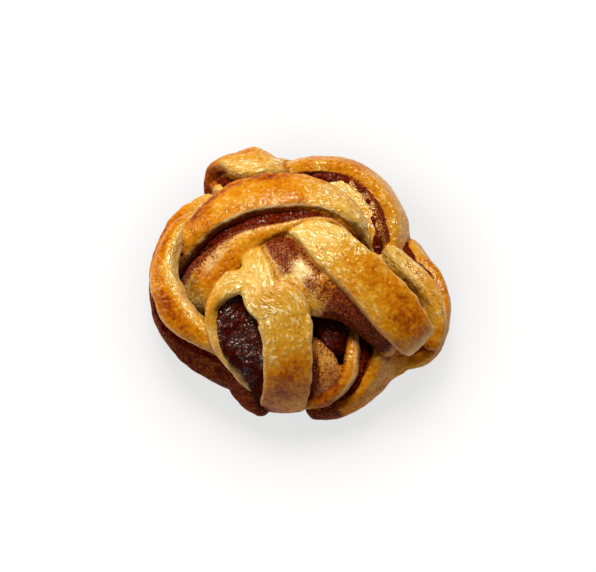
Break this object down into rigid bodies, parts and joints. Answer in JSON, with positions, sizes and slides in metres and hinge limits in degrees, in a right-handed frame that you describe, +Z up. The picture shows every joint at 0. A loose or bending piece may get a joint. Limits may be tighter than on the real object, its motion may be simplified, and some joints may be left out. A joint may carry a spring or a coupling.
{
  "type": "cinnamon twist bun",
  "caption": "Baked knotted cinnamon twist: layered dough strips wound into a round bun, with dark cinnamon filling showing between the layers.",
  "frame": {"origin": "the middle of the bun's outline, at the flat underside that it rests on", "axes": "+Z up out of the bun's top, +X to the right and -Y to the front as the bun is shown"},
  "size_m": [0.107, 0.0978, 0.0518],
  "materials": {
    "crust": "satin",
    "cinnamon_filling": "gloss"
  },
  "bodies": {
    "root": {"dough": "crust", "filling_arc": "cinnamon_filling", "filling_diagonal": "cinnamon_filling", "filling_eye": "cinnamon_filling", "filling_pocket": "cinnamon_filling", "filling_back": "cinnamon_filling", "filling_right": "cinnamon_filling", "filling_front": "cinnamon_filling", "filling_left": "cinnamon_filling", "filling_knob": "cinnamon_filling"}
  },
  "joints": []
}
